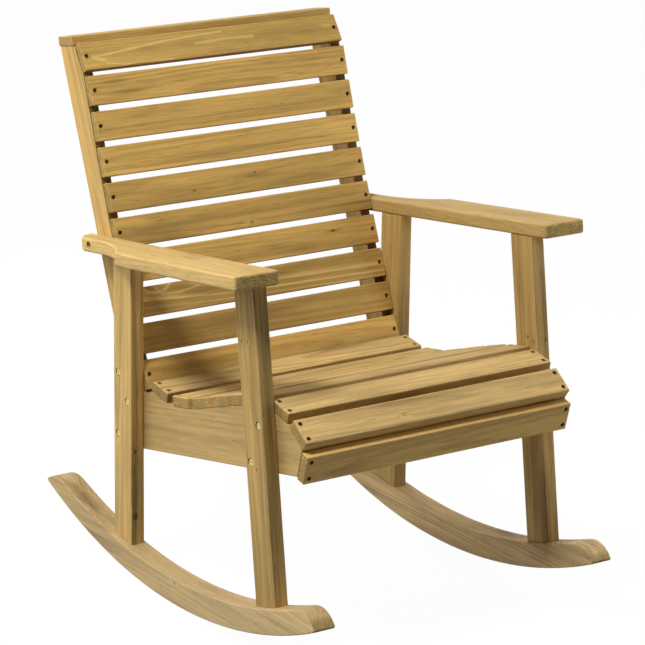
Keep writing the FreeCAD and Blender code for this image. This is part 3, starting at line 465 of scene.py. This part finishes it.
# Marks on single boards: kind, place along, across and out of the board in millimetres, radius, strength
MARK_SQUEEZE = {"Knot": (0.6, 1, 1), "Smudge": (0.13, 1, 1), "Pale": (0.3, 1, 1)}
MARK_CORE = {"Knot": 0.35, "Smudge": 0.0, "Pale": 0.15}
MARKS = {
    "back_slat_03": [("Knot", (-205, 30, 6.7), 9, 0.5)],
    "back_slat_04": [("Knot", (172, 7.4, 6.7), 3.2, 0.9), ("Smudge", (172, 7.4, 6.7), 5, 0.4)],
    "back_slat_05": [("Knot", (8.4, -16, 6.7), 3.4, 0.55), ("Pale", (4, -14, 6.7), 6, 0.3)],
    "back_slat_06": [("Smudge", (33, 3, 6.7), 8, 0.4), ("Knot", (33, 8, 6.7), 2.6, 0.6),
                     ("Knot", (-96, -9, 6.7), 2.6, 0.6)],
    "back_slat_09": [("Smudge", (-215, 12, 6.7), 6, 0.4), ("Smudge", (-180, -8, 6.7), 6, 0.4),
                     ("Smudge", (-150, 2, 6.7), 5, 0.3)],
    "back_slat_10": [("Pale", (241, 5, 6.7), 6, 0.5), ("Pale", (-231, -8.5, 6.7), 5, 0.6)],
    "rear_leg_left": [("Knot", (-88, -29, 5), 4, 0.8), ("Knot", (-206, -29, 5), 6, 0.9)],
    "front_leg_left": [("Knot", (172, 16, 13), 2.6, 0.7), ("Knot", (172.5, -1.7, 13), 3, 0.6),
                       ("Knot", (-36, -2.6, 13), 2.4, 0.6)],
    "rocker_left": [("Knot", (-10, 26, 21), 4, 0.4), ("Smudge", (267, 25, 21), 9, 0.3)],
    "front_leg_right": [("Knot", (95, 4.5, -13), 3.2, 0.7), ("Knot", (88, 20, -13), 3.4, 0.6),
                        ("Knot", (90, 29, 6), 3.4, 0.7)],
    "seat_slat_08": [("Knot", (-66, -7, 9.3), 4, 0.35), ("Pale", (-62, -9, 9.3), 5, 0.3),
                     ("Pale", (203, -10, 9.3), 6, 0.55)],
    "seat_slat_07": [("Pale", (235, 8, 9.3), 6, 0.4), ("Pale", (215, -13, 9.3), 5, 0.35)],
    "front_apron": [("Smudge", (20, 2, 9.3), 5, 0.3)],
    "armrest_left": [("Smudge", (-71, -15, 12), 5, 0.4)],
}


def board_look(name, number):
    """The grain of one board: its kind's look and its own seeded draw."""
    draw = random.Random(1000 + number)
    tone, ring, figure, streak, smoke = for_name(name, KINDS)
    value = draw.uniform(0.95, 1.05) * BOARD_VALUES.get(name, 1.0)
    look = {
        "tone": (tone[0] * value, tone[1] * value, tone[2] * value, 1.0),
        "line": DARK_LINE,
        "pith": (0, draw.uniform(-0.02, 0.02), -draw.uniform(0.025, 0.06)),
        "lean": (draw.uniform(0.004, 0.010), draw.uniform(-0.02, 0.02), draw.uniform(-0.012, 0.012)),
        "wave": (draw.uniform(0, 0.003), FULL_TURN / draw.uniform(0.4, 0.9), draw.uniform(0, FULL_TURN)),
        "ring": ring / 1000 * draw.uniform(0.85, 1.2),
        "figure": figure * draw.uniform(0.8, 1.25),
        "streak": streak,
        "smoke": smoke * draw.uniform(0.7, 1.4),
        "seed": draw.uniform(0, 50),
    }
    end_value = for_name(name, END_VALUES, 1.0)
    look["end"] = (*[channel * end_value for channel in END_COLOUR[:3]], 1.0)
    look.update(SPECIAL.get(name, {}))
    return look


# Metal

def steel_material(name, colour, roughness, metallic=1.0):
    """Plated steel with a few dull patches; a cloudy plating is less metallic."""
    material, graph, shader = new_material(name)
    coordinates = graph.node("ShaderNodeTexCoord")
    patch = graph.noise(coordinates.outputs["Object"], (260, 260, 260), 3.0, 3.0).outputs["Fac"]
    dull = (colour[0] * 0.55, colour[1] * 0.5, colour[2] * 0.45, 1.0)
    graph.feed(shader.inputs["Base Color"], graph.mix(graph.ramp(patch, 0.4, 0.75), colour, dull))
    graph.feed(shader.inputs["Roughness"], graph.ramp(patch, 0.3, 0.7, roughness, roughness + 0.2))
    shader.inputs["Metallic"].default_value = metallic
    return material


STEEL = {
    # The slat screws are darkened so their recessed holes read dark: painted shade in the holes
    "slat_screws": steel_material("dark_screw_steel", linear(128, 110, 84), 0.45),
    "rocker_screws": steel_material("screw_steel", linear(120, 112, 98), 0.4),
    "frame_bolts": steel_material("yellow_zinc", linear(248, 238, 168), 0.28, 0.4),
    "frame_washers": steel_material("washer_zinc", linear(226, 202, 132), 0.32),
    "frame_nuts": steel_material("nut_zinc", linear(222, 198, 130), 0.34),
}

# The seeded draws follow this order, with the boards hidden under the seat last
HIDDEN = ("cross_rail_dowels", "front_cross_rail")
grain = wood_group()
for number, name in enumerate(sorted(nodes, key=lambda name: (name in HIDDEN, name))):
    obj = nodes[name]
    finish = STEEL.get(name) or wood_material(obj, grain, board_look(name, number))
    obj.data.materials.clear()
    obj.data.materials.append(finish)


# Camera, light and floor

WHITE = (1, 1, 1, 1)
CHAIR_MIDDLE = Vector((0, 0, 0.45))


def make_camera():
    """The photograph's viewpoint: a long lens at the chair's front left, a little above it."""
    lens = bpy.data.cameras.new("camera")
    lens.lens = 171.27
    lens.sensor_width = 36
    camera = bpy.data.objects.new("camera", lens)
    camera.location = (-2.8519, -4.0651, 2.1006)
    camera.rotation_euler = [math.radians(angle) for angle in (71.576, -2.146, -34.352)]
    bpy.context.scene.collection.objects.link(camera)
    bpy.context.scene.camera = camera


def soft_light(name, direction, distance, width, power):
    """A square soft light at a distance from the chair's middle, turned towards it."""
    data = bpy.data.lights.new(name, "AREA")
    data.size = width
    data.energy = power
    light = bpy.data.objects.new(name, data)
    towards = Vector(direction).normalized()
    light.location = CHAIR_MIDDLE + towards * distance
    light.rotation_euler = (-towards).to_track_quat("-Z", "Y").to_euler()
    bpy.context.scene.collection.objects.link(light)


# The studio's own light: from everywhere, and from behind, from the right and from the floor
AIR_LIGHT = 0.02
WALL_LIGHT = [((0, 1, 0), 0.75), ((1, 0, 0), 0.42), ((0, 0, -1), 0.3)]


def make_world():
    """Even studio air: light comes back from the walls behind and to the right, and from the floor."""
    world = bpy.data.worlds.new("studio")
    world.use_nodes = True
    graph = Graph(world.node_tree)
    coordinates = graph.node("ShaderNodeTexCoord")
    strength = AIR_LIGHT
    for direction, share in WALL_LIGHT:
        towards = graph.vector("DOT_PRODUCT", coordinates.outputs["Generated"], direction)
        lobe = graph.math("MULTIPLY", graph.math("MAXIMUM", towards, 0.0), share)
        strength = graph.math("ADD", strength, lobe)
    graph.feed(world.node_tree.nodes["Background"].inputs["Strength"], strength)
    world.node_tree.nodes["Background"].inputs["Color"].default_value = WHITE
    bpy.context.scene.world = world


def stage_material():
    """Plain white that glows a little, so that it stays pale in the chair's shadow."""
    material, _, shader = new_material("studio_white")
    shader.inputs["Base Color"].default_value = (0.06, 0.06, 0.06, 1)
    shader.inputs["Roughness"].default_value = 1.0
    shader.inputs["Specular IOR Level"].default_value = 0.0
    shader.inputs["Emission Color"].default_value = WHITE
    shader.inputs["Emission Strength"].default_value = 0.96
    return material


def stage_piece(name, points, faces, material):
    """A piece of the studio that is seen but throws no light on the chair."""
    mesh = bpy.data.meshes.new(name)
    mesh.from_pydata(points, [], faces)
    mesh.materials.append(material)
    piece = bpy.data.objects.new(name, mesh)
    piece.visible_diffuse = False
    piece.visible_glossy = False
    bpy.context.scene.collection.objects.link(piece)
    return piece


def make_stage():
    """A plain pale floor with a round pale wall far behind it; the wall lets the studio's light through."""
    half = 30
    height = 25
    sides = 48
    material = stage_material()
    corners = [(-half, -half, 0), (half, -half, 0), (half, half, 0), (-half, half, 0)]
    stage_piece("floor", corners, [(0, 1, 2, 3)], material)
    turns = [FULL_TURN * step / sides for step in range(sides)]
    low = [(half * math.cos(turn), half * math.sin(turn), 0) for turn in turns]
    high = [(x, y, height) for x, y, _ in low]
    panels = [(step, (step + 1) % sides, sides + (step + 1) % sides, sides + step) for step in range(sides)]
    wall = stage_piece("backdrop", low + high, panels, material)
    wall.visible_shadow = False


make_camera()
make_world()
make_stage()
soft_light("key", direction=(-0.6, -0.1, 0.9), distance=4.5, width=1.0, power=153)
soft_light("left_wall", direction=(-0.9, 0.6, 0.4), distance=1.8, width=1.5, power=13)
soft_light("right_board", direction=(1, -0.45, 0.15), distance=1.5, width=1.2, power=8.5)
bpy.context.scene.view_settings.view_transform = "Standard"
